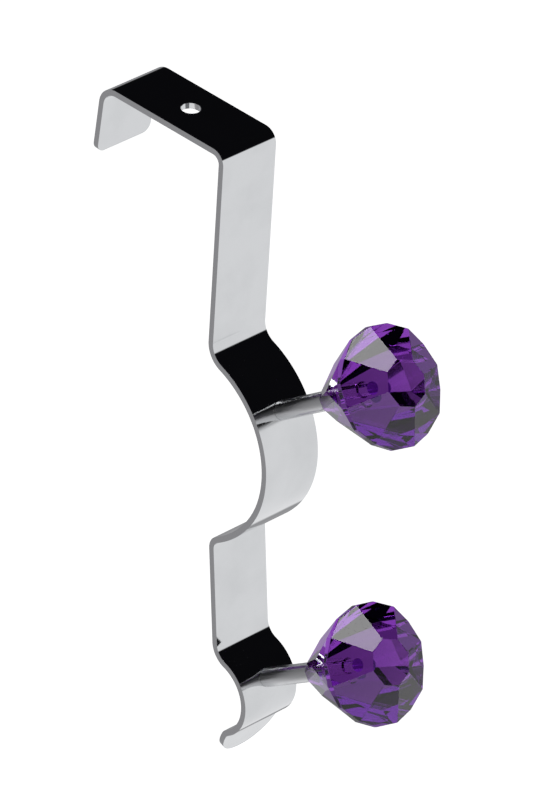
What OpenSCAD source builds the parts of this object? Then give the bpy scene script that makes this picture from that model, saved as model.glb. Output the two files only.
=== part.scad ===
// Over-the-door double hook: a bent metal strap with two pegs, each ending in a faceted knob.
// Millimetres. The strap lies along the Y-Z plane, centred on X = 0. The door's front is towards -Y.
// The origin is the centre of the screw hole, at the underside of the top plate.

/* [Strap] */
// Width of the strap
strap_w = 18; // [14:0.5:24]
// Thickness of the strap
strap_t = 1.6; // [1.2:0.1:2]
// Clear gap for the door, under the top plate
door_gap = 40.5; // [30:0.5:46]
// Length of the back lip below its bend
lip_len = 14.8; // [10:0.2:30]
// How far the back lip leans out from square, in degrees
lip_flare = 4.5; // [0:0.5:8]
// Length of the long flat leg
leg_len = 50; // [40:1:90]
// Length of the flat leg between the two bulges
lower_leg_len = 27; // [22:1:45]
// Diameter of the screw hole in the top plate
top_hole_d = 5; // [3:0.1:6]

/* [Bulges] */
// Centreline radius of the upper bulge
upper_bulge_r = 26.5; // [22:0.5:32]
// Centreline radius of the lower bulge
lower_bulge_r = 10.7; // [9.5:0.1:14]

/* [Pegs] */
// Rise of the upper peg above level, in degrees
upper_peg_angle = 35; // [25:1:45]
// Rise of the lower peg above level, in degrees
lower_peg_angle = 33; // [25:1:45]
// Length of a peg between the strap and its knob
peg_len = 19; // [16:0.5:24]
// Outer diameter of a peg
peg_d = 5; // [4.6:0.1:6.4]
// Nominal thread diameter of the long screws
thread_d = 3; // [3:0.1:3.2]
// Length of the long screws under the head
screw_len = 30; // [28:1:32]

/* [Knobs] */
// Diameter of a knob across its girdle
knob_d = 31.2; // [26:0.2:36]
// Height from a knob's neck to its girdle
knob_back_h = 22.8; // [20:0.2:28]
// Height of a knob's girdle band
girdle_h = 1.8; // [1:0.1:3]
// Height of a knob's front above the girdle
knob_front_h = 5.4; // [4:0.2:8]
// Diameter of a knob's neck, where it meets the peg
neck_d = 6; // [5.8:0.1:7]
// Width of the flat table across a knob's front
table_d = 11.4; // [8:0.2:18]

/* [Hidden] */

chrome = "#c8cacd";
steel = "#a9abae";
nickel = "#b9b4a6";
purple_acrylic = "#5b1f86";

// Centreline radii of the strap's smaller bends
back_bend_r = 4.8;
front_bend_r = 3;
bulge_in_r = 6;
upper_bulge_tail_r = 32;
bulge_out_r = 3.4;
hook_in_r = 5.6;
toe_bend_r = 2.5;
lip_corner_r = 2.5;
// Every second stretch of the strap is slimmer by tuck on each face, and reaches by lap
// into both neighbours, so that the stretches fuse
tuck = 0.005;
lap = 0.02;

// The length of the flat top, between its two bends
top_len = door_gap - back_bend_r - front_bend_r + strap_t;

// The strap's front half, from the middle of the top plate to the tongue.
// Each step is [length, 0] for a straight run, or [centreline radius, turn] for a bend.
FRONT = [
    [top_len / 2, 0], [front_bend_r, -89], [leg_len, 0],
    [bulge_in_r, 69], [upper_bulge_r, -102], [upper_bulge_tail_r, -26.5], [bulge_out_r, 66],
    [lower_leg_len, 0],
    [hook_in_r, 66], [lower_bulge_r, -131.5], [toe_bend_r, 35]
];
// The strap's back half, from the middle of the top plate to the lip, drawn forwards and then mirrored
BACK = [[top_len / 2, 0], [back_bend_r, lip_flare - 90]];
UPPER_BULGE = 4;
LOWER_BULGE = 9;

// Cross recess, pan head and lock washer of the long screws
screw_r = thread_d / 2 - 0.025;
head_r = 2.8;
head_h = 2.2;
recess_len = 3.2;
recess_w = 0.8;
recess_depth = 1.3;
washer_r = 2.75;
washer_hole_r = 1.65;
washer_t = 0.8;
washer_split = 0.5;
clear_hole_r = 1.7;
seat_gap = 0.01;

// Threaded insert and the bore that it fills
insert_r = 2.1;
insert_len = 12;
insert_groove = 0.25;
relief_r = 1.7;
bore_depth = 16;

// Knob facets: eight main facets on each end, and twice as many sides round the girdle
sides = 8;
knob_r = knob_d / 2;
girdle_top = knob_back_h + girdle_h;
knob_len = girdle_top + knob_front_h;
// Share of the way from girdle to neck that the small facets below the girdle reach
back_reach = 0.45;

// Pose [forward, up, heading] of the strap's centreline after the first n steps of a path
function turned(pose, radius, turn) =
    let (side = sign(turn), head = pose[2], next = head + turn)
    [pose[0] + side * radius * (sin(next) - sin(head)),
     pose[1] - side * radius * (cos(next) - cos(head)), next];
function advanced(pose, length) =
    [pose[0] + length * cos(pose[2]), pose[1] + length * sin(pose[2]), pose[2]];
function after(path, n) =
    n == 0 ? [0, strap_t / 2, 0]
    : let (pose = after(path, n - 1), part = path[n - 1])
      part[1] == 0 ? advanced(pose, part[0]) : turned(pose, part[0], part[1]);

// Centre of the bend at step n of the front half, as [forward, up]
function bend_centre(n) =
    let (pose = after(FRONT, n), side = sign(FRONT[n][1]))
    [pose[0] - side * FRONT[n][0] * sin(pose[2]), pose[1] + side * FRONT[n][0] * cos(pose[2])];

// Point on the outside of a bulge where its peg stands, as [forward, up]
function peg_angle(n) = n == UPPER_BULGE ? upper_peg_angle : lower_peg_angle;
function peg_foot(n) =
    bend_centre(n) + (FRONT[n][0] + strap_t / 2) * [cos(peg_angle(n)), sin(peg_angle(n))];

// Height of the concave inner face of a bulge over its middle, at the edge of the lock washer
function seat_sag(n) =
    let (inner_r = FRONT[n][0] - strap_t / 2) inner_r - sqrt(inner_r ^ 2 - washer_r ^ 2);

// Moves to a pose of the strap's centreline, with +Y back along the strap and +Z out of its outer face
module at_pose(pose) {
    translate([0, -pose[0], pose[1]]) rotate([-pose[2], 0, 0]) children();
}

// Flat run of the strap, from its own start to its end at y = -length
module flat_run(length, tucked) {
    width = strap_w - 2 * tucked * tuck;
    thick = strap_t - 2 * tucked * tuck;
    reach = tucked * lap;
    translate([-width / 2, -length - reach, -thick / 2]) cube([width, length + 2 * reach, thick]);
}

// Bend of the strap about the X axis: a positive turn bends its heading up, a negative one down
module bend(radius, turn, tucked) {
    width = strap_w - 2 * tucked * tuck;
    thick = strap_t - 2 * tucked * tuck;
    side = sign(turn);
    reach = tucked * lap / radius * 180 / PI;
    translate([0, 0, side * radius]) rotate([0, -90 * side, 0]) rotate([0, 0, 180 - reach])
        rotate_extrude(angle = abs(turn) + 2 * reach, $fn = 96)
            translate([radius - thick / 2, -width / 2]) square([thick, width]);
}

module strap_path(path) {
    for (n = [0:len(path) - 1])
        at_pose(after(path, n)) {
            if (path[n][1] == 0) flat_run(path[n][0], n % 2);
            else bend(path[n][0], path[n][1], n % 2);
        }
}

// Half-round tongue at the foot of the strap, tucked into the toe bend at its own start
module tongue() {
    thick = strap_t - 2 * tuck;
    translate([0, 0, -thick / 2]) intersection() {
        cylinder(d = strap_w - 2 * tuck, h = thick, $fn = 96);
        translate([-strap_w, lap - 2 * strap_w, -1]) cube([2 * strap_w, 2 * strap_w, thick + 2]);
    }
}

// Flat lip with two rounded lower corners, from its own start
module lip() {
    translate([0, 0, -strap_t / 2]) linear_extrude(strap_t) {
        translate([-strap_w / 2, lip_corner_r - lip_len]) square([strap_w, lip_len - lip_corner_r]);
        translate([lip_corner_r - strap_w / 2, -lip_len]) square([strap_w - 2 * lip_corner_r, lip_len]);
        for (side = [-1, 1])
            translate([side * (strap_w / 2 - lip_corner_r), lip_corner_r - lip_len])
                circle(lip_corner_r, $fn = 96);
    }
}

module strap() {
    color(chrome) difference() {
        union() {
            strap_path(FRONT);
            at_pose(after(FRONT, len(FRONT))) tongue();
            mirror([0, 1, 0]) {
                strap_path(BACK);
                at_pose(after(BACK, len(BACK))) lip();
            }
        }
        translate([0, 0, -1]) cylinder(d = top_hole_d, h = strap_t + 2, $fn = 64);
        for (n = [UPPER_BULGE, LOWER_BULGE])
            on_peg(n) translate([0, 0, -strap_t - 1])
                cylinder(r = clear_hole_r, h = strap_t + 2, $fn = 48);
    }
}

// Stands a piece on a bulge: +Z runs out along the peg from the strap's outer face, and +Y is up
module on_peg(n) {
    foot = peg_foot(n);
    translate([0, -foot[0], foot[1]]) rotate([90 - peg_angle(n), 0, 0]) children();
}

// Tubular peg, clamped between the strap and the knob by the long screw
module sleeve(n) {
    color(chrome) on_peg(n) difference() {
        cylinder(d = peg_d, h = peg_len, $fn = 64);
        translate([0, 0, -1]) cylinder(r = clear_hole_r, h = peg_len + 2, $fn = 48);
    }
}

// Split spring washer between the screw head and the strap
module lock_washer(n) {
    color(steel) on_peg(n) translate([0, 0, -strap_t - seat_sag(n) - seat_gap - washer_t])
        difference() {
            cylinder(r = washer_r, h = washer_t, $fn = 64);
            translate([0, 0, -1]) cylinder(r = washer_hole_r, h = washer_t + 2, $fn = 48);
            translate([-washer_split / 2, 0, -1]) cube([washer_split, washer_r + 1, washer_t + 2]);
        }
}

// Long pan-head screw with a cross recess, entered from behind the strap
module long_screw(n) {
    color(steel) on_peg(n) translate([0, 0, -strap_t - seat_sag(n) - 2 * seat_gap - washer_t]) {
        difference() {
            union() {
                cylinder(r = screw_r, h = screw_len - screw_r / 2, $fn = 48);
                translate([0, 0, screw_len - screw_r / 2])
                    cylinder(r1 = screw_r, r2 = screw_r / 2, h = screw_r / 2, $fn = 48);
                translate([0, 0, -head_h]) pan_head();
            }
            translate([0, 0, -head_h - 1]) cross_recess();
        }
    }
}

// Pan head: a short cylinder with a rounded crown, which faces -Z
module pan_head() {
    crown = head_h / 2;
    rotate_extrude($fn = 64) intersection() {
        union() {
            translate([0, crown]) square([head_r, head_h - crown]);
            translate([head_r - crown, crown]) circle(crown, $fn = 64);
            square([head_r - crown, head_h]);
        }
        square([head_r, head_h]);
    }
}

module cross_recess() {
    for (turn = [0, 90])
        rotate(turn) translate([-recess_len / 2, -recess_w / 2, 0])
            cube([recess_len, recess_w, recess_depth + 1]);
}

// Threaded insert moulded into the knob's neck, with three grip grooves
module insert(n) {
    color(nickel) on_peg(n) translate([0, 0, peg_len + seat_gap]) difference() {
        cylinder(r = insert_r, h = insert_len, $fn = 64);
        translate([0, 0, -1]) cylinder(d = thread_d, h = insert_len + 2, $fn = 48);
        for (k = [1:3])
            translate([0, 0, k * insert_len / 4]) difference() {
                cylinder(r = insert_r + 1, h = 2 * insert_groove, $fn = 64);
                translate([0, 0, -1]) cylinder(r = insert_r - insert_groove, h = 3, $fn = 64);
            }
    }
}

// What a tier of flat facets cuts off a blank whose axis is Z. Every facet of the tier holds
// the point [distance from the axis, height], and its normal is tilt degrees from +Z.
module facet_tier(count, turn, point, tilt) {
    for (k = [0:count - 1])
        rotate(turn + 360 * k / count) translate([point[0], 0, point[1]]) rotate([0, tilt, 0])
            translate([-2 * knob_d, -2 * knob_d, 0]) cube([4 * knob_d, 4 * knob_d, 2 * knob_d]);
}

// Tilt from +Z of a facet that holds two points, given as [distance from the axis, height]
function facet_tilt(outer, inner) = atan2(inner[1] - outer[1], outer[0] - inner[0]);

// Back of the gem: eight main facets from the girdle's corners to the neck, and sixteen along the girdle
module gem_back() {
    half = 180 / sides;
    quarter = half / 2;
    girdle = [knob_r, knob_back_h];
    tilt = facet_tilt(girdle, [neck_d / 2, 0]);
    // on the ridge between two mains, where the girdle facets stop
    ridge_r = knob_r + back_reach * (neck_d / 2 - knob_r);
    ridge = [ridge_r * cos(quarter), knob_back_h + (knob_r - ridge_r * cos(half)) * tan(tilt)];
    girdle_edge = [knob_r * cos(quarter), knob_back_h];
    facet_tier(sides, 0, girdle, 180 + tilt);
    facet_tier(2 * sides, quarter, girdle_edge, 180 + facet_tilt(girdle_edge, ridge));
}

// Front of the gem: eight large facets from the girdle to the edges of the flat table
module gem_front() {
    half = 180 / sides;
    girdle_chord = [knob_r * cos(half), girdle_top];
    facet_tier(sides, half, girdle_chord, facet_tilt(girdle_chord, [table_d / 2, knob_len]));
}

// Faceted knob with a blind bore for its insert, and a relief for the screw's tip
module gem_knob(n) {
    color(purple_acrylic) on_peg(n) translate([0, 0, peg_len + seat_gap]) difference() {
        linear_extrude(knob_len)
            polygon([for (k = [0:2 * sides - 1]) knob_r * [cos(180 * k / sides), sin(180 * k / sides)]]);
        gem_back();
        gem_front();
        translate([0, 0, -1]) cylinder(r = insert_r, h = insert_len + 1, $fn = 64);
        translate([0, 0, -1]) cylinder(r = relief_r, h = bore_depth + 1, $fn = 48);
    }
}

strap();
sleeve(UPPER_BULGE);  // upper_sleeve
sleeve(LOWER_BULGE);  // lower_sleeve
lock_washer(UPPER_BULGE);  // upper_lock_washer
lock_washer(LOWER_BULGE);  // lower_lock_washer
long_screw(UPPER_BULGE);  // upper_screw
long_screw(LOWER_BULGE);  // lower_screw
insert(UPPER_BULGE);  // upper_insert
insert(LOWER_BULGE);  // lower_insert
gem_knob(UPPER_BULGE);  // upper_knob
gem_knob(LOWER_BULGE);  // lower_knob
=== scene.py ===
"""Looks of the over-the-door double hook: a polished strap, two pegs and two faceted knobs.

Everything is in metres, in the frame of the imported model: +Z is up and the knobs point to -Y.
"""

import math

import bmesh
import bpy
from mathutils import Matrix, Vector


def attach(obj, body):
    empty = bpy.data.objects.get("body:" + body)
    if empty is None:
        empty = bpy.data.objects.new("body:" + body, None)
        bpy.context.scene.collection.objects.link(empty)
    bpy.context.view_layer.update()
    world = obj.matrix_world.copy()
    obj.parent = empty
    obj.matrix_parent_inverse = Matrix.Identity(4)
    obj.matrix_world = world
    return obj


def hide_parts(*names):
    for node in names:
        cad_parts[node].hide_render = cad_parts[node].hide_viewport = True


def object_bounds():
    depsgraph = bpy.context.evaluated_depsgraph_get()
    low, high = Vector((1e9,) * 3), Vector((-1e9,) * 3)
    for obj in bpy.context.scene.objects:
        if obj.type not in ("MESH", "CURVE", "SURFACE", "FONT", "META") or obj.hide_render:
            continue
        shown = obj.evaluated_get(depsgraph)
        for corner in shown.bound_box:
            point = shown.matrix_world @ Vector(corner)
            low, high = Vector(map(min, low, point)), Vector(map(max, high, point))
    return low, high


MM = 0.001

# ---------------------------------------------------------------- sizes, as the CAD has them
STRAP_W = 18 * MM
STRAP_T = 1.6 * MM
DOOR_GAP = 40.5 * MM
LIP_LEN = 14.8 * MM
LIP_FLARE = 4.5
LIP_CORNER_R = 2.5 * MM
BACK_BEND_R = 4.8 * MM
FRONT_BEND_R = 3 * MM
TOP_LEN = DOOR_GAP - BACK_BEND_R - FRONT_BEND_R + STRAP_T
TOP_HOLE_R = 2.5 * MM
CLEAR_HOLE_R = 1.7 * MM
# steps of the strap's centreline: (length, 0) is straight, (radius, turn in degrees) is a bend
FRONT = [
    (TOP_LEN / 2, 0),
    (FRONT_BEND_R, -89),
    (50 * MM, 0),
    (6 * MM, 69),
    (26.5 * MM, -102),
    (32 * MM, -26.5),
    (3.4 * MM, 66),
    (27 * MM, 0),
    (5.6 * MM, 66),
    (10.7 * MM, -131.5),
    (2.5 * MM, 35),
    (STRAP_W / 2, 0),
]
BACK = [(TOP_LEN / 2, 0), (BACK_BEND_R, LIP_FLARE - 90), (LIP_LEN, 0)]
# the steps that are the two bulges, where the pegs stand
UPPER_BULGE = 4
LOWER_BULGE = 9

# rise of each peg above level
PEG_ANGLES = {UPPER_BULGE: math.radians(35), LOWER_BULGE: math.radians(33)}
PEG_LEN = 19 * MM
PEG_R = 2.5 * MM
SCREW_R = 1.475 * MM
THREAD_PITCH = 0.5 * MM
SCREW_LEN = 30 * MM
HEAD_R = 2.8 * MM
HEAD_H = 2.2 * MM
WASHER_R = 2.75 * MM
WASHER_HOLE_R = 1.65 * MM
WASHER_T = 0.8 * MM
SEAT_GAP = 0.01 * MM

KNOB_R = 15.6 * MM
KNOB_BACK_H = 22.8 * MM
GIRDLE_H = 1.8 * MM
KNOB_FRONT_H = 5.4 * MM
NECK_R = 3 * MM
TABLE_R = 5.7 * MM
INSERT_R = 2.1 * MM
INSERT_LEN = 12 * MM
INSERT_BORE_R = 1.5 * MM
RELIEF_R = 1.7 * MM
BORE_DEPTH = 16 * MM
SIDES = 8
# share of the way from girdle to neck that the small facets below the girdle reach
BACK_REACH = 0.45
# how far outside the neck the drills start
DRILL_START = 1 * MM

# how finely the strap bends, in degrees and in metres
TURN_STEP = 2.5
STRAIGHT_STEP = 5 * MM
# radius of the strap's deburred edges
EDGE_R = 0.3 * MM
THREAD_DEPTH = 0.28 * MM
THREAD_LEAD = 1.2 * MM
# the acrylic grips its insert, so its bore is this much smaller than the insert
GRIP = 0.02 * MM
# width of the polished edges between facets
FACET_EDGE = 0.14 * MM
# the cross recess in a screw head: its depth, and its arms' length and width at the mouth and inside
RECESS_DEPTH = 1.3 * MM
RECESS_MOUTH = (3.4 * MM, 0.85 * MM)
RECESS_FLOOR = (1.5 * MM, 0.55 * MM)
# steepness of the thread's groove: above 1 leaves a flat at its root
GROOVE_SHARPNESS = 1.2
# the insert's straight knurl, and its grip grooves
KNURL_RIBS = 32
KNURL_DEPTH = 0.12 * MM
GRIP_GROOVE = 0.5 * MM
GRIP_DEPTH = 0.25 * MM
INSERT_CHAMFER = 0.2 * MM

# the camera, in metres and degrees
CAMERA_TARGET = (-10.65 * MM, -42.94 * MM, -57.24 * MM)
CAMERA_AZIMUTH = -46.857
CAMERA_ELEVATION = 32.613
CAMERA_ROLL = 4.4425
CAMERA_DISTANCE = 1.9537
CAMERA_LENS_MM = 360

# the studio that the metal mirrors, as linear colours
LIT = (1.0, 1.0, 1.01)
GREY = (0.36, 0.36, 0.37)
DARK = (0.004, 0.004, 0.005)
BACKGROUND = (0.93, 0.93, 0.94)
# the direction that points away from the lit part of the studio
AWAY_FROM_LIGHT = (0, 0.72, 0.69)
FLOOR_HALF = 1.6
FLOOR_CLEARANCE = 0.5 * MM


# ---------------------------------------------------------------- camera, floor and light
def add_camera():
    """Looks down at the hook from the front left, with a long lens and a slight roll."""
    azimuth = math.radians(CAMERA_AZIMUTH)
    elevation = math.radians(CAMERA_ELEVATION)
    roll = math.radians(CAMERA_ROLL)
    back = Vector(
        (
            math.sin(azimuth) * math.cos(elevation),
            -math.cos(azimuth) * math.cos(elevation),
            math.sin(elevation),
        )
    )
    level = Vector((math.cos(azimuth), math.sin(azimuth), 0))
    right = level * math.cos(roll) + back.cross(level) * math.sin(roll)
    turn = Matrix((right, back.cross(right), back)).transposed()
    data = bpy.data.cameras.new("camera")
    data.lens = CAMERA_LENS_MM
    data.sensor_width = 36
    data.clip_start = 0.05
    data.clip_end = 20
    camera = bpy.data.objects.new("camera", data)
    place = Vector(CAMERA_TARGET) + back * CAMERA_DISTANCE
    camera.matrix_world = Matrix.Translation(place) @ turn.to_4x4()
    bpy.context.scene.collection.objects.link(camera)
    bpy.context.scene.camera = camera


def add_softbox(name, place, look_at, size, watts):
    data = bpy.data.lights.new(name, "AREA")
    data.shape = "RECTANGLE"
    data.size, data.size_y = size
    data.energy = watts
    light = bpy.data.objects.new(name, data)
    light.location = place
    light.rotation_mode = "QUATERNION"
    light.rotation_quaternion = (Vector(look_at) - Vector(place)).to_track_quat("-Z", "Y")
    bpy.context.scene.collection.objects.link(light)


def add_world():
    """Bright from the front and below, grey from behind and below, and dark overhead."""
    world = bpy.data.worlds.new("studio")
    world.use_nodes = True
    nodes, links = world.node_tree.nodes, world.node_tree.links
    place = nodes.new("ShaderNodeTexCoord")

    def blend(direction, low, high, first, second):
        """Mix of two colours, by how far a ray goes in that direction."""
        along = nodes.new("ShaderNodeVectorMath")
        along.operation = "DOT_PRODUCT"
        along.inputs[1].default_value = direction
        share = nodes.new("ShaderNodeMapRange")
        share.inputs["From Min"].default_value = low
        share.inputs["From Max"].default_value = high
        mix = nodes.new("ShaderNodeMix")
        mix.data_type = "RGBA"
        links.new(place.outputs["Generated"], along.inputs[0])
        links.new(along.outputs["Value"], share.inputs["Value"])
        links.new(share.outputs["Result"], mix.inputs["Factor"])
        for name, colour in (("A", first), ("B", second)):
            if isinstance(colour, tuple):
                mix.inputs[name].default_value = (*colour, 1)
            else:
                links.new(colour, mix.inputs[name])
        return mix.outputs["Result"]

    backdrop = blend((0, 0, 1), 0.02, 0.14, GREY, DARK)
    studio = blend(AWAY_FROM_LIGHT, -0.40, -0.33, LIT, backdrop)
    seen = nodes.new("ShaderNodeLightPath")
    pick = nodes.new("ShaderNodeMix")
    pick.data_type = "RGBA"
    pick.inputs["B"].default_value = (*BACKGROUND, 1)
    links.new(studio, pick.inputs["A"])
    links.new(seen.outputs["Is Camera Ray"], pick.inputs["Factor"])
    links.new(pick.outputs["Result"], nodes["Background"].inputs["Color"])
    nodes["Background"].inputs["Strength"].default_value = 1.0
    bpy.context.scene.world = world
    bpy.context.scene.view_settings.view_transform = "Standard"


def add_floor(height):
    """Pale floor with a light of its own, like a lit table."""
    mesh = bpy.data.meshes.new("floor")
    turns = ((-1, -1), (1, -1), (1, 1), (-1, 1))
    corners = [(x * FLOOR_HALF, y * FLOOR_HALF, height) for x, y in turns]
    mesh.from_pydata(corners, [], [(0, 1, 2, 3)])
    floor = bpy.data.objects.new("floor", mesh)
    floor.data.materials.append(floor_material())
    # the metal and the knobs show the studio's light, not the floor
    floor.visible_glossy = False
    floor.visible_transmission = False
    bpy.context.scene.collection.objects.link(floor)


# ---------------------------------------------------------------- materials
class Shader:
    """A material with one Principled shader, and short calls for the nodes that feed it."""

    def __init__(self, name):
        self.material = bpy.data.materials.new(name)
        self.material.use_nodes = True
        self.nodes = self.material.node_tree.nodes
        self.links = self.material.node_tree.links
        self.main = self.nodes["Principled BSDF"]
        self.place = self.nodes.new("ShaderNodeTexCoord")

    def set(self, **values):
        for name, value in values.items():
            self.main.inputs[name.replace("_", " ")].default_value = value

    def link(self, output, name):
        self.links.new(output, self.main.inputs[name])

    def noise(self, scale, detail=3, stretch=(1, 1, 1)):
        """Noise of that many cells a metre, stretched along each axis of the object."""
        space = self.nodes.new("ShaderNodeMapping")
        space.inputs["Scale"].default_value = stretch
        self.links.new(self.place.outputs["Object"], space.inputs["Vector"])
        node = self.nodes.new("ShaderNodeTexNoise")
        node.inputs["Scale"].default_value = scale
        node.inputs["Detail"].default_value = detail
        self.links.new(space.outputs["Vector"], node.inputs["Vector"])
        return node.outputs["Fac"]

    def ramp(self, value, low, high, start, end):
        """Value, taken from start to end, over the range from low to high."""
        node = self.nodes.new("ShaderNodeMapRange")
        node.inputs["From Min"].default_value = low
        node.inputs["From Max"].default_value = high
        node.inputs["To Min"].default_value = start
        node.inputs["To Max"].default_value = end
        self.links.new(value, node.inputs["Value"])
        return node.outputs["Result"]

    def math(self, kind, a, b):
        node = self.nodes.new("ShaderNodeMath")
        node.operation = kind
        for socket, value in zip(node.inputs, (a, b)):
            if isinstance(value, (int, float)):
                socket.default_value = value
            else:
                self.links.new(value, socket)
        return node.outputs["Value"]

    def colours(self, factor, first, second):
        node = self.nodes.new("ShaderNodeMix")
        node.data_type = "RGBA"
        self.links.new(factor, node.inputs["Factor"])
        for name, value in (("A", first), ("B", second)):
            if isinstance(value, tuple):
                node.inputs[name].default_value = (*value, 1)
            else:
                self.links.new(value, node.inputs[name])
        return node.outputs["Result"]

    def bump(self, height, distance, strength=1.0):
        node = self.nodes.new("ShaderNodeBump")
        node.inputs["Distance"].default_value = distance
        node.inputs["Strength"].default_value = strength
        self.links.new(height, node.inputs["Height"])
        self.link(node.outputs["Normal"], "Normal")


def floor_material():
    made = Shader("pale_floor")
    made.set(Roughness=0.9, Specular_IOR_Level=0.1, Emission_Strength=1.0)
    mottle = made.ramp(made.noise(6, 2), 0.3, 0.7, 0, 1)
    made.link(made.colours(mottle, (0.86, 0.86, 0.87), (0.90, 0.90, 0.90)), "Base Color")
    made.main.inputs["Emission Color"].default_value = (1, 1, 1, 1)
    return made.material


def chrome_material(name, satin):
    """Chrome plate: polishing lines along the strip, soft smudges, and satin cut edges with a
    painted highlight, a colour lighter than the faces that stands in for the light they catch.
    """
    made = Shader(name)
    made.set(Metallic=1.0)
    smudge = made.ramp(made.noise(90, 3), 0.42, 0.75, 0, 1)
    lines = made.noise(900, 2, stretch=(6, 0.25, 0.25))
    side = made.nodes.new("ShaderNodeSeparateXYZ")
    made.links.new(made.place.outputs["Normal"], side.inputs[0])
    # the cut edges, where the normal points across the strip: rougher than the faces for a satin
    # finish, and painted lighter as a painted highlight
    satin_edge_and_painted_light = made.ramp(made.math("ABSOLUTE", side.outputs["X"], 0), 0.75, 0.95, 0, 1)
    clean = made.colours(smudge, (0.62, 0.63, 0.64), (0.58, 0.59, 0.60))
    # painted highlight: the cut edges take a lighter colour than the clean faces
    made.link(made.colours(satin_edge_and_painted_light, clean, (0.66, 0.66, 0.67)), "Base Color")
    smears = made.ramp(smudge, 0, 1, satin, satin + 0.04)
    rough = made.math("ADD", smears, made.ramp(lines, 0.3, 0.7, 0, 0.03))
    made.link(made.math("ADD", rough, made.math("MULTIPLY", satin_edge_and_painted_light, 0.16)), "Roughness")
    ripple = made.math("ADD", made.noise(160, 1), made.math("MULTIPLY", lines, 0.08))
    made.bump(ripple, 0.02 * MM)
    return made.material


def steel_material():
    """Bright zinc plate: fine turning grain and cloudy patches."""
    made = Shader("bright_zinc")
    made.set(Metallic=1.0)
    cloud = made.ramp(made.noise(500, 3), 0.35, 0.7, 0, 1)
    made.link(made.colours(cloud, (0.70, 0.71, 0.73), (0.58, 0.59, 0.60)), "Base Color")
    made.link(made.ramp(cloud, 0, 1, 0.22, 0.36), "Roughness")
    made.bump(made.noise(6000, 2), 0.01 * MM)
    return made.material


def nickel_material():
    """Nickel plate on a turned insert, slightly warm."""
    made = Shader("turned_nickel")
    made.set(Metallic=1.0)
    cloud = made.ramp(made.noise(700, 3), 0.35, 0.7, 0, 1)
    made.link(made.colours(cloud, (0.74, 0.71, 0.66), (0.62, 0.59, 0.54)), "Base Color")
    made.link(made.ramp(cloud, 0, 1, 0.18, 0.30), "Roughness")
    made.bump(made.noise(5000, 2), 0.01 * MM)
    return made.material


def acrylic_material():
    """Clear purple cast acrylic with polished facets and a faint haze of handling marks."""
    made = Shader("purple_acrylic")
    made.set(Transmission_Weight=1.0, IOR=1.49, Specular_IOR_Level=0.17)
    swirl = made.ramp(made.noise(60, 2), 0.35, 0.65, 0, 1)
    made.link(made.colours(swirl, (0.45, 0.17, 0.68), (0.40, 0.14, 0.62)), "Base Color")
    marks = made.ramp(made.noise(1400, 4), 0.55, 0.85, 0.012, 0.07)
    made.link(marks, "Roughness")
    made.bump(made.noise(220, 1), 0.006 * MM)
    depth = made.nodes.new("ShaderNodeVolumeAbsorption")
    depth.inputs["Color"].default_value = (0.52, 0.08, 0.70, 1)
    depth.inputs["Density"].default_value = 42
    made.links.new(depth.outputs["Volume"], made.nodes["Material Output"].inputs["Volume"])
    return made.material


# ---------------------------------------------------------------- mesh helpers
def turned(pose, radius, turn):
    """Pose (forward, up, heading) after a bend of the strap's centreline, turn in degrees."""
    side, head = math.copysign(1, turn), math.radians(pose[2])
    new = head + math.radians(turn)
    return (
        pose[0] + side * radius * (math.sin(new) - math.sin(head)),
        pose[1] - side * radius * (math.cos(new) - math.cos(head)),
        pose[2] + turn,
    )


def advanced(pose, length):
    head = math.radians(pose[2])
    return (pose[0] + length * math.cos(head), pose[1] + length * math.sin(head), pose[2])


def after(path, count):
    pose = (0, STRAP_T / 2, 0)
    for size, turn in path[:count]:
        pose = turned(pose, size, turn) if turn else advanced(pose, size)
    return pose


def peg_matrix(bulge):
    """Where a peg stands: +Z runs out along it from the strap's outer face, and +Y is up."""
    start = after(FRONT, bulge)
    radius, turn = FRONT[bulge]
    side, head = math.copysign(1, turn), math.radians(start[2])
    centre = (start[0] - side * radius * math.sin(head), start[1] + side * radius * math.cos(head))
    reach, rise = radius + STRAP_T / 2, PEG_ANGLES[bulge]
    foot = (centre[0] + reach * math.cos(rise), centre[1] + reach * math.sin(rise))
    return Matrix.Translation((0, -foot[0], foot[1])) @ Matrix.Rotation(math.pi / 2 - rise, 4, "X")


def seat_sag(bulge):
    """How far the washer's rim stands off the middle of the bulge's hollow face."""
    inner = FRONT[bulge][0] - STRAP_T / 2
    return inner - math.sqrt(inner**2 - WASHER_R**2)


def add_piece(name, bm, material):
    """Turns a bmesh into an object with one material."""
    bmesh.ops.recalc_face_normals(bm, faces=bm.faces)
    mesh = bpy.data.meshes.new(name)
    bm.to_mesh(mesh)
    bm.free()
    mesh.materials.append(material)
    piece = bpy.data.objects.new(name, mesh)
    bpy.context.scene.collection.objects.link(piece)
    return piece


def lathe(bm, outline, steps, shape=lambda radius, height, angle: radius):
    """Spins a closed outline of (radius, height) points about Z; shape may change the radius."""
    rings = []
    for k in range(steps):
        a = 2 * math.pi * k / steps
        ring = []
        for r, z in outline:
            reach = shape(r, z, a)
            ring.append(bm.verts.new((reach * math.cos(a), reach * math.sin(a), z)))
        rings.append(ring)
    for k in range(steps):
        one, two = rings[k], rings[(k + 1) % steps]
        for i in range(len(outline)):
            j = (i + 1) % len(outline)
            bm.faces.new((one[i], two[i], two[j], one[j]))


def bake_modifiers(piece):
    depsgraph = bpy.context.evaluated_depsgraph_get()
    mesh = bpy.data.meshes.new_from_object(piece.evaluated_get(depsgraph))
    piece.modifiers.clear()
    piece.data = mesh


def cut(piece, cutter):
    """Takes the cutter out of the piece for good."""
    hole = piece.modifiers.new("cut", "BOOLEAN")
    hole.operation = "DIFFERENCE"
    hole.solver = "EXACT"
    hole.object = cutter
    bake_modifiers(piece)
    bpy.data.objects.remove(cutter)


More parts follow.
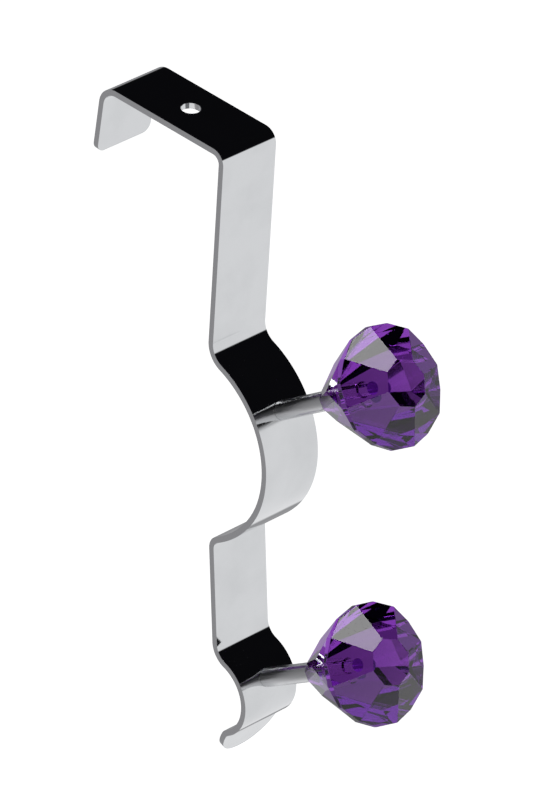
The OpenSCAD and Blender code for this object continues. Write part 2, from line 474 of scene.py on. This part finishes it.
def round_bar(radius, low, high, steps=64):
    """A plain cylinder along Z, used as a cutter."""
    bm = bmesh.new()
    bmesh.ops.create_cone(
        bm, cap_ends=True, segments=steps, radius1=radius, radius2=radius, depth=high - low
    )
    bmesh.ops.translate(bm, verts=bm.verts, vec=(0, 0, (low + high) / 2))
    return bm


# ---------------------------------------------------------------- strap
def arc(centre, radius, start, stop, steps):
    """Points on an arc in the blank's plane, angles in degrees."""
    angles = [math.radians(start + (stop - start) * k / steps) for k in range(steps + 1)]
    return [(centre[0] + radius * math.cos(a), centre[1] + radius * math.sin(a)) for a in angles]


def run_of(path):
    """Length of the centreline along a path."""
    return sum(size * math.radians(abs(turn)) if turn else size for size, turn in path)


def peg_run(bulge):
    """How far along the front half a peg stands, where the strap's outer face points along it."""
    start = after(FRONT, bulge)
    radius = FRONT[bulge][0]
    turn = start[2] + 90 - math.degrees(PEG_ANGLES[bulge])
    return run_of(FRONT[:bulge]) + radius * math.radians(turn)


def pose_at(path, run):
    """Pose (forward, up, heading) at that run along a path."""
    for n, (size, turn) in enumerate(path):
        length = size * math.radians(abs(turn)) if turn else size
        if run <= length or n == len(path) - 1:
            start = after(path, n)
            return turned(start, size, turn * run / length) if turn else advanced(start, run)
        run -= length


def stations(path):
    """Runs at which the blank is sliced, so that it can bend smoothly."""
    found, run = [], 0.0
    for size, turn in path:
        length = size * math.radians(abs(turn)) if turn else size
        pieces = math.ceil(abs(turn) / TURN_STEP) if turn else math.ceil(size / STRAIGHT_STEP)
        found += [run + length * k / pieces for k in range(1, pieces + 1)]
        run += length
    return found[:-1]


def strap_blank():
    """Flat blank in (across, along, out): outline, three holes, and deburred edges."""
    half = STRAP_W / 2
    low, high = -run_of(BACK), run_of(FRONT)
    corner = LIP_CORNER_R
    outline = arc((0, high - half), half, 0, 180, 40)
    outline += arc((corner - half, low + corner), corner, 180, 270, 8)
    outline += arc((half - corner, low + corner), corner, 270, 360, 8)
    bm = bmesh.new()
    bottom = bm.faces.new([bm.verts.new((x, y, -STRAP_T / 2)) for x, y in outline])
    top = bmesh.ops.extrude_face_region(bm, geom=[bottom])["geom"]
    lifted = [v for v in top if isinstance(v, bmesh.types.BMVert)]
    bmesh.ops.translate(bm, verts=lifted, vec=(0, 0, STRAP_T))
    blank = add_piece("hook_strap", bm, chrome_material("mirror_chrome", 0.035))
    peg_holes = [(peg_run(bulge), CLEAR_HOLE_R) for bulge in (UPPER_BULGE, LOWER_BULGE)]
    for run, radius in [(0, TOP_HOLE_R), *peg_holes]:
        drill = round_bar(radius, -STRAP_T, STRAP_T)
        bmesh.ops.translate(drill, verts=drill.verts, vec=(0, run, 0))
        cut(blank, add_piece("drill", drill, blank.data.materials[0]))
    deburr = blank.modifiers.new("deburr", "BEVEL")
    deburr.width = EDGE_R
    deburr.segments = 4
    deburr.limit_method = "ANGLE"
    deburr.angle_limit = math.radians(60)
    bake_modifiers(blank)
    return blank


def weight_normals(piece, angle):
    """Smooth shading in which the large faces keep their own direction."""
    piece.data.shade_smooth()
    piece.data.set_sharp_from_angle(angle=math.radians(angle))
    weigh = piece.modifiers.new("weigh", "WEIGHTED_NORMAL")
    weigh.mode = "FACE_AREA"
    weigh.weight = 100
    weigh.keep_sharp = True


def add_strap():
    """Cuts the flat blank, slices it and bends it along the strap's centreline."""
    strap = strap_blank()
    bm = bmesh.new()
    bm.from_mesh(strap.data)
    for run in [-r for r in stations(BACK)] + [0.0] + stations(FRONT):
        everything = [*bm.verts, *bm.edges, *bm.faces]
        bmesh.ops.bisect_plane(
            bm, geom=everything, dist=1e-7, plane_co=(0, run, 0), plane_no=(0, 1, 0)
        )
    for v in bm.verts:
        across, run, out = v.co
        path, side = (FRONT, -1) if run >= 0 else (BACK, 1)
        forward, up, heading = pose_at(path, abs(run))
        head = math.radians(heading)
        v.co = (across, side * (forward - out * math.sin(head)), up + out * math.cos(head))
    bmesh.ops.recalc_face_normals(bm, faces=bm.faces)
    bm.to_mesh(strap.data)
    bm.free()
    weight_normals(strap, 50)
    return strap


# ---------------------------------------------------------------- pegs, screws and washers
def chamfered_tube(inner, outer, low, high, chamfer):
    """Closed outline of a tube for lathe(), with all four rims broken."""
    return [
        (inner, low + chamfer),
        (inner + chamfer, low),
        (outer - chamfer, low),
        (outer, low + chamfer),
        (outer, high - chamfer),
        (outer - chamfer, high),
        (inner + chamfer, high),
        (inner, high - chamfer),
    ]


def add_sleeve(name, bulge, material):
    bm = bmesh.new()
    lathe(bm, chamfered_tube(CLEAR_HOLE_R, PEG_R, 0, PEG_LEN, 0.2 * MM), 128)
    bmesh.ops.transform(bm, matrix=peg_matrix(bulge), verts=bm.verts)
    sleeve = add_piece(name, bm, material)
    weight_normals(sleeve, 50)
    return sleeve


def add_lock_washer(name, bulge, material):
    """Split spring washer, clamped flat, with slanted cut ends."""
    top = -STRAP_T - seat_sag(bulge) - SEAT_GAP
    section = chamfered_tube(WASHER_HOLE_R, WASHER_R, top - WASHER_T, top, 0.12 * MM)
    gap, steps = math.radians(12), 96
    bm = bmesh.new()
    rings = []
    for k in range(steps + 1):
        ring = []
        for r, z in section:
            slant = math.radians(10) * ((z - top) / WASHER_T + 0.5)
            a = math.pi / 2 + gap / 2 + (2 * math.pi - gap) * k / steps + slant
            ring.append(bm.verts.new((r * math.cos(a), r * math.sin(a), z)))
        rings.append(ring)
    for one, two in zip(rings, rings[1:]):
        for i in range(len(section)):
            j = (i + 1) % len(section)
            bm.faces.new((one[i], two[i], two[j], one[j]))
    bm.faces.new(rings[0])
    bm.faces.new(rings[-1][::-1])
    bmesh.ops.transform(bm, matrix=peg_matrix(bulge), verts=bm.verts)
    washer = add_piece(name, bm, material)
    weight_normals(washer, 40)
    return washer


def thread_radius(radius, height, angle):
    """Radius of the threaded shank: a V-shaped groove that climbs one pitch a turn."""
    if radius < SCREW_R - 0.01 * MM or height > SCREW_LEN - THREAD_LEAD:
        return radius
    phase = (height / THREAD_PITCH - angle / (2 * math.pi)) % 1
    groove = abs(2 * phase - 1)
    return radius - THREAD_DEPTH * min(groove * GROOVE_SHARPNESS, 1)


def add_screw(name, bulge, material):
    """Pan-head screw with a cross recess and a helical thread."""
    rows = 6
    turns = int((SCREW_LEN - THREAD_LEAD) / THREAD_PITCH)
    crown = arc((HEAD_R - HEAD_H / 2, -HEAD_H / 2), HEAD_H / 2, -90, 0, 8)
    outline = [(0, -HEAD_H), *crown, (HEAD_R, -0.15 * MM), (HEAD_R - 0.15 * MM, 0)]
    outline += [(SCREW_R, THREAD_PITCH * k / rows) for k in range(turns * rows)]
    outline.append((SCREW_R - THREAD_DEPTH, SCREW_LEN - THREAD_LEAD / 2))
    outline += [(SCREW_R / 2, SCREW_LEN), (0, SCREW_LEN)]
    bm = bmesh.new()
    lathe(bm, outline, 32, thread_radius)
    bmesh.ops.remove_doubles(bm, verts=bm.verts, dist=1e-7)
    screw = add_piece(name, bm, material)
    for turn in (0, 90):
        cut(screw, add_piece("bit", recess_arm(turn), material))
    seat = -STRAP_T - seat_sag(bulge) - 2 * SEAT_GAP - WASHER_T
    screw.data.transform(peg_matrix(bulge) @ Matrix.Translation((0, 0, seat)))
    weight_normals(screw, 35)
    return screw


def recess_arm(turn):
    """One tapered arm of the cross recess, as a cutter."""
    deep = -HEAD_H + RECESS_DEPTH
    bm = bmesh.new()
    bmesh.ops.create_cube(bm, size=1)
    for v in bm.verts:
        inner = v.co.z > 0
        length, width = RECESS_FLOOR if inner else RECESS_MOUTH
        v.co = (v.co.x * length, v.co.y * width, deep if inner else -HEAD_H - 0.2 * MM)
    bmesh.ops.rotate(bm, verts=bm.verts, matrix=Matrix.Rotation(math.radians(turn), 3, "Z"))
    return bm


def knurl(radius, height, angle):
    """Straight knurl on the insert's outer wall."""
    if radius < INSERT_R - 0.01 * MM:
        return radius
    return radius - KNURL_DEPTH * abs(math.sin(KNURL_RIBS / 2 * angle))


def add_insert(name, bulge, material):
    """Threaded insert: knurled barrel with three grip grooves."""
    mouth_r = INSERT_BORE_R + INSERT_CHAMFER
    outline = [(INSERT_BORE_R, INSERT_CHAMFER), (mouth_r, 0), (INSERT_R, 0)]
    for k in (1, 2, 3):
        start = k * INSERT_LEN / 4
        stop = start + GRIP_GROOVE
        outline += [(INSERT_R, start), (INSERT_R - GRIP_DEPTH, start)]
        outline += [(INSERT_R - GRIP_DEPTH, stop), (INSERT_R, stop)]
    outline += [(INSERT_R, INSERT_LEN), (mouth_r, INSERT_LEN)]
    outline.append((INSERT_BORE_R, INSERT_LEN - INSERT_CHAMFER))
    bm = bmesh.new()
    lathe(bm, outline, 128, knurl)
    stand = peg_matrix(bulge) @ Matrix.Translation((0, 0, PEG_LEN + SEAT_GAP))
    bmesh.ops.transform(bm, matrix=stand, verts=bm.verts)
    insert = add_piece(name, bm, material)
    weight_normals(insert, 30)
    return insert


# ---------------------------------------------------------------- knobs
def gem_mesh():
    """Gem with its neck at the origin and eight large facets round a flat table at its +Z end."""
    bm = bmesh.new()
    half = math.pi / SIDES

    def ring(count, radius, height, offset=0.0):
        angles = [2 * math.pi * (k + offset) / count for k in range(count)]
        return [bm.verts.new((radius * math.cos(a), radius * math.sin(a), height)) for a in angles]

    top_z = KNOB_BACK_H + GIRDLE_H
    low = ring(2 * SIDES, KNOB_R, KNOB_BACK_H)
    high = ring(2 * SIDES, KNOB_R, top_z)
    # each front facet passes below the girdle corner at its middle
    front_slope = KNOB_FRONT_H / (KNOB_R * math.cos(half) - TABLE_R)
    for corner in high[1::2]:
        corner.co.z -= KNOB_R * (1 - math.cos(half)) * front_slope
    table = ring(SIDES, TABLE_R / math.cos(half), top_z + KNOB_FRONT_H)
    back_slope = KNOB_BACK_H / (KNOB_R - NECK_R)
    ridge_r = KNOB_R - BACK_REACH * (KNOB_R - NECK_R)
    ridge_z = KNOB_BACK_H - (KNOB_R - ridge_r * math.cos(half)) * back_slope
    ridge = ring(SIDES, ridge_r, ridge_z, 0.5)
    neck = ring(SIDES, NECK_R / math.cos(half), 0, 0.5)
    bm.faces.new(table)
    bm.faces.new(neck)
    for k in range(2 * SIDES):
        beside = (k + 1) % (2 * SIDES)
        bm.faces.new((low[k], low[beside], high[beside], high[k]))
        bm.faces.new((low[k], low[beside], ridge[k // 2]))
    for k in range(SIDES):
        beside = (k + 1) % SIDES
        bm.faces.new((high[2 * k], high[2 * k + 1], high[2 * beside], table[beside], table[k]))
        bm.faces.new((low[2 * k], ridge[k], neck[k], neck[k - 1], ridge[k - 1]))
    bmesh.ops.recalc_face_normals(bm, faces=bm.faces)
    return bm


def add_knob(name, bulge, material):
    """Faceted knob with polished edges, and the blind bore that holds its insert."""
    bm = gem_mesh()
    bmesh.ops.bevel(
        bm, geom=bm.edges[:], offset=FACET_EDGE, offset_type="WIDTH", segments=1, affect="EDGES"
    )
    knob = add_piece(name, bm, material)
    for radius, depth in ((INSERT_R - GRIP, INSERT_LEN), (RELIEF_R, BORE_DEPTH)):
        cut(knob, add_piece("drill", round_bar(radius, -DRILL_START, depth), material))
    knob.data.transform(peg_matrix(bulge) @ Matrix.Translation((0, 0, PEG_LEN + SEAT_GAP)))
    return knob


# ---------------------------------------------------------------- scene
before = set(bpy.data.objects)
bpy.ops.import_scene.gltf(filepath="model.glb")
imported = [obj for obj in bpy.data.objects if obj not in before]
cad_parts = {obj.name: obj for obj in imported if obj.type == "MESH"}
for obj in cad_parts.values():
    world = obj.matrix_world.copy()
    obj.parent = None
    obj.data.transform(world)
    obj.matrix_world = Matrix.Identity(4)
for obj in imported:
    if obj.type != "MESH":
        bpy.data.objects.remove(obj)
cad_low, cad_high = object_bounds()

add_camera()
add_world()
add_floor(cad_low.z - FLOOR_CLEARANCE)
centre = Vector((0, -0.04, -0.08))
add_softbox("overhead", (0.31, -0.25, 1.0), centre, (0.2, 0.2), 0.8)
add_softbox("left", (-1.3, -0.1, 0.6), centre, (0.5, 0.8), 1.0)

strap = add_strap()
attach(strap, "root")
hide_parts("strap")

satin_chrome = chrome_material("satin_chrome", 0.26)
steel = steel_material()
nickel = nickel_material()
acrylic = acrylic_material()
for place, bulge in (("upper", UPPER_BULGE), ("lower", LOWER_BULGE)):
    pieces = [
        (add_sleeve, "sleeve", "root", "chrome", satin_chrome),
        (add_lock_washer, "lock_washer", "root", "steel", steel),
        (add_screw, "screw", place + "_screw", "steel", steel),
        (add_insert, "insert", place + "_knob", "nickel", nickel),
        (add_knob, "knob", place + "_knob", "acrylic", acrylic),
    ]
    for build, part, body, slot, material in pieces:
        piece = build("hook_" + place + "_" + part, bulge, material)
        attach(piece, body)
        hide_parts(place + "_" + part)
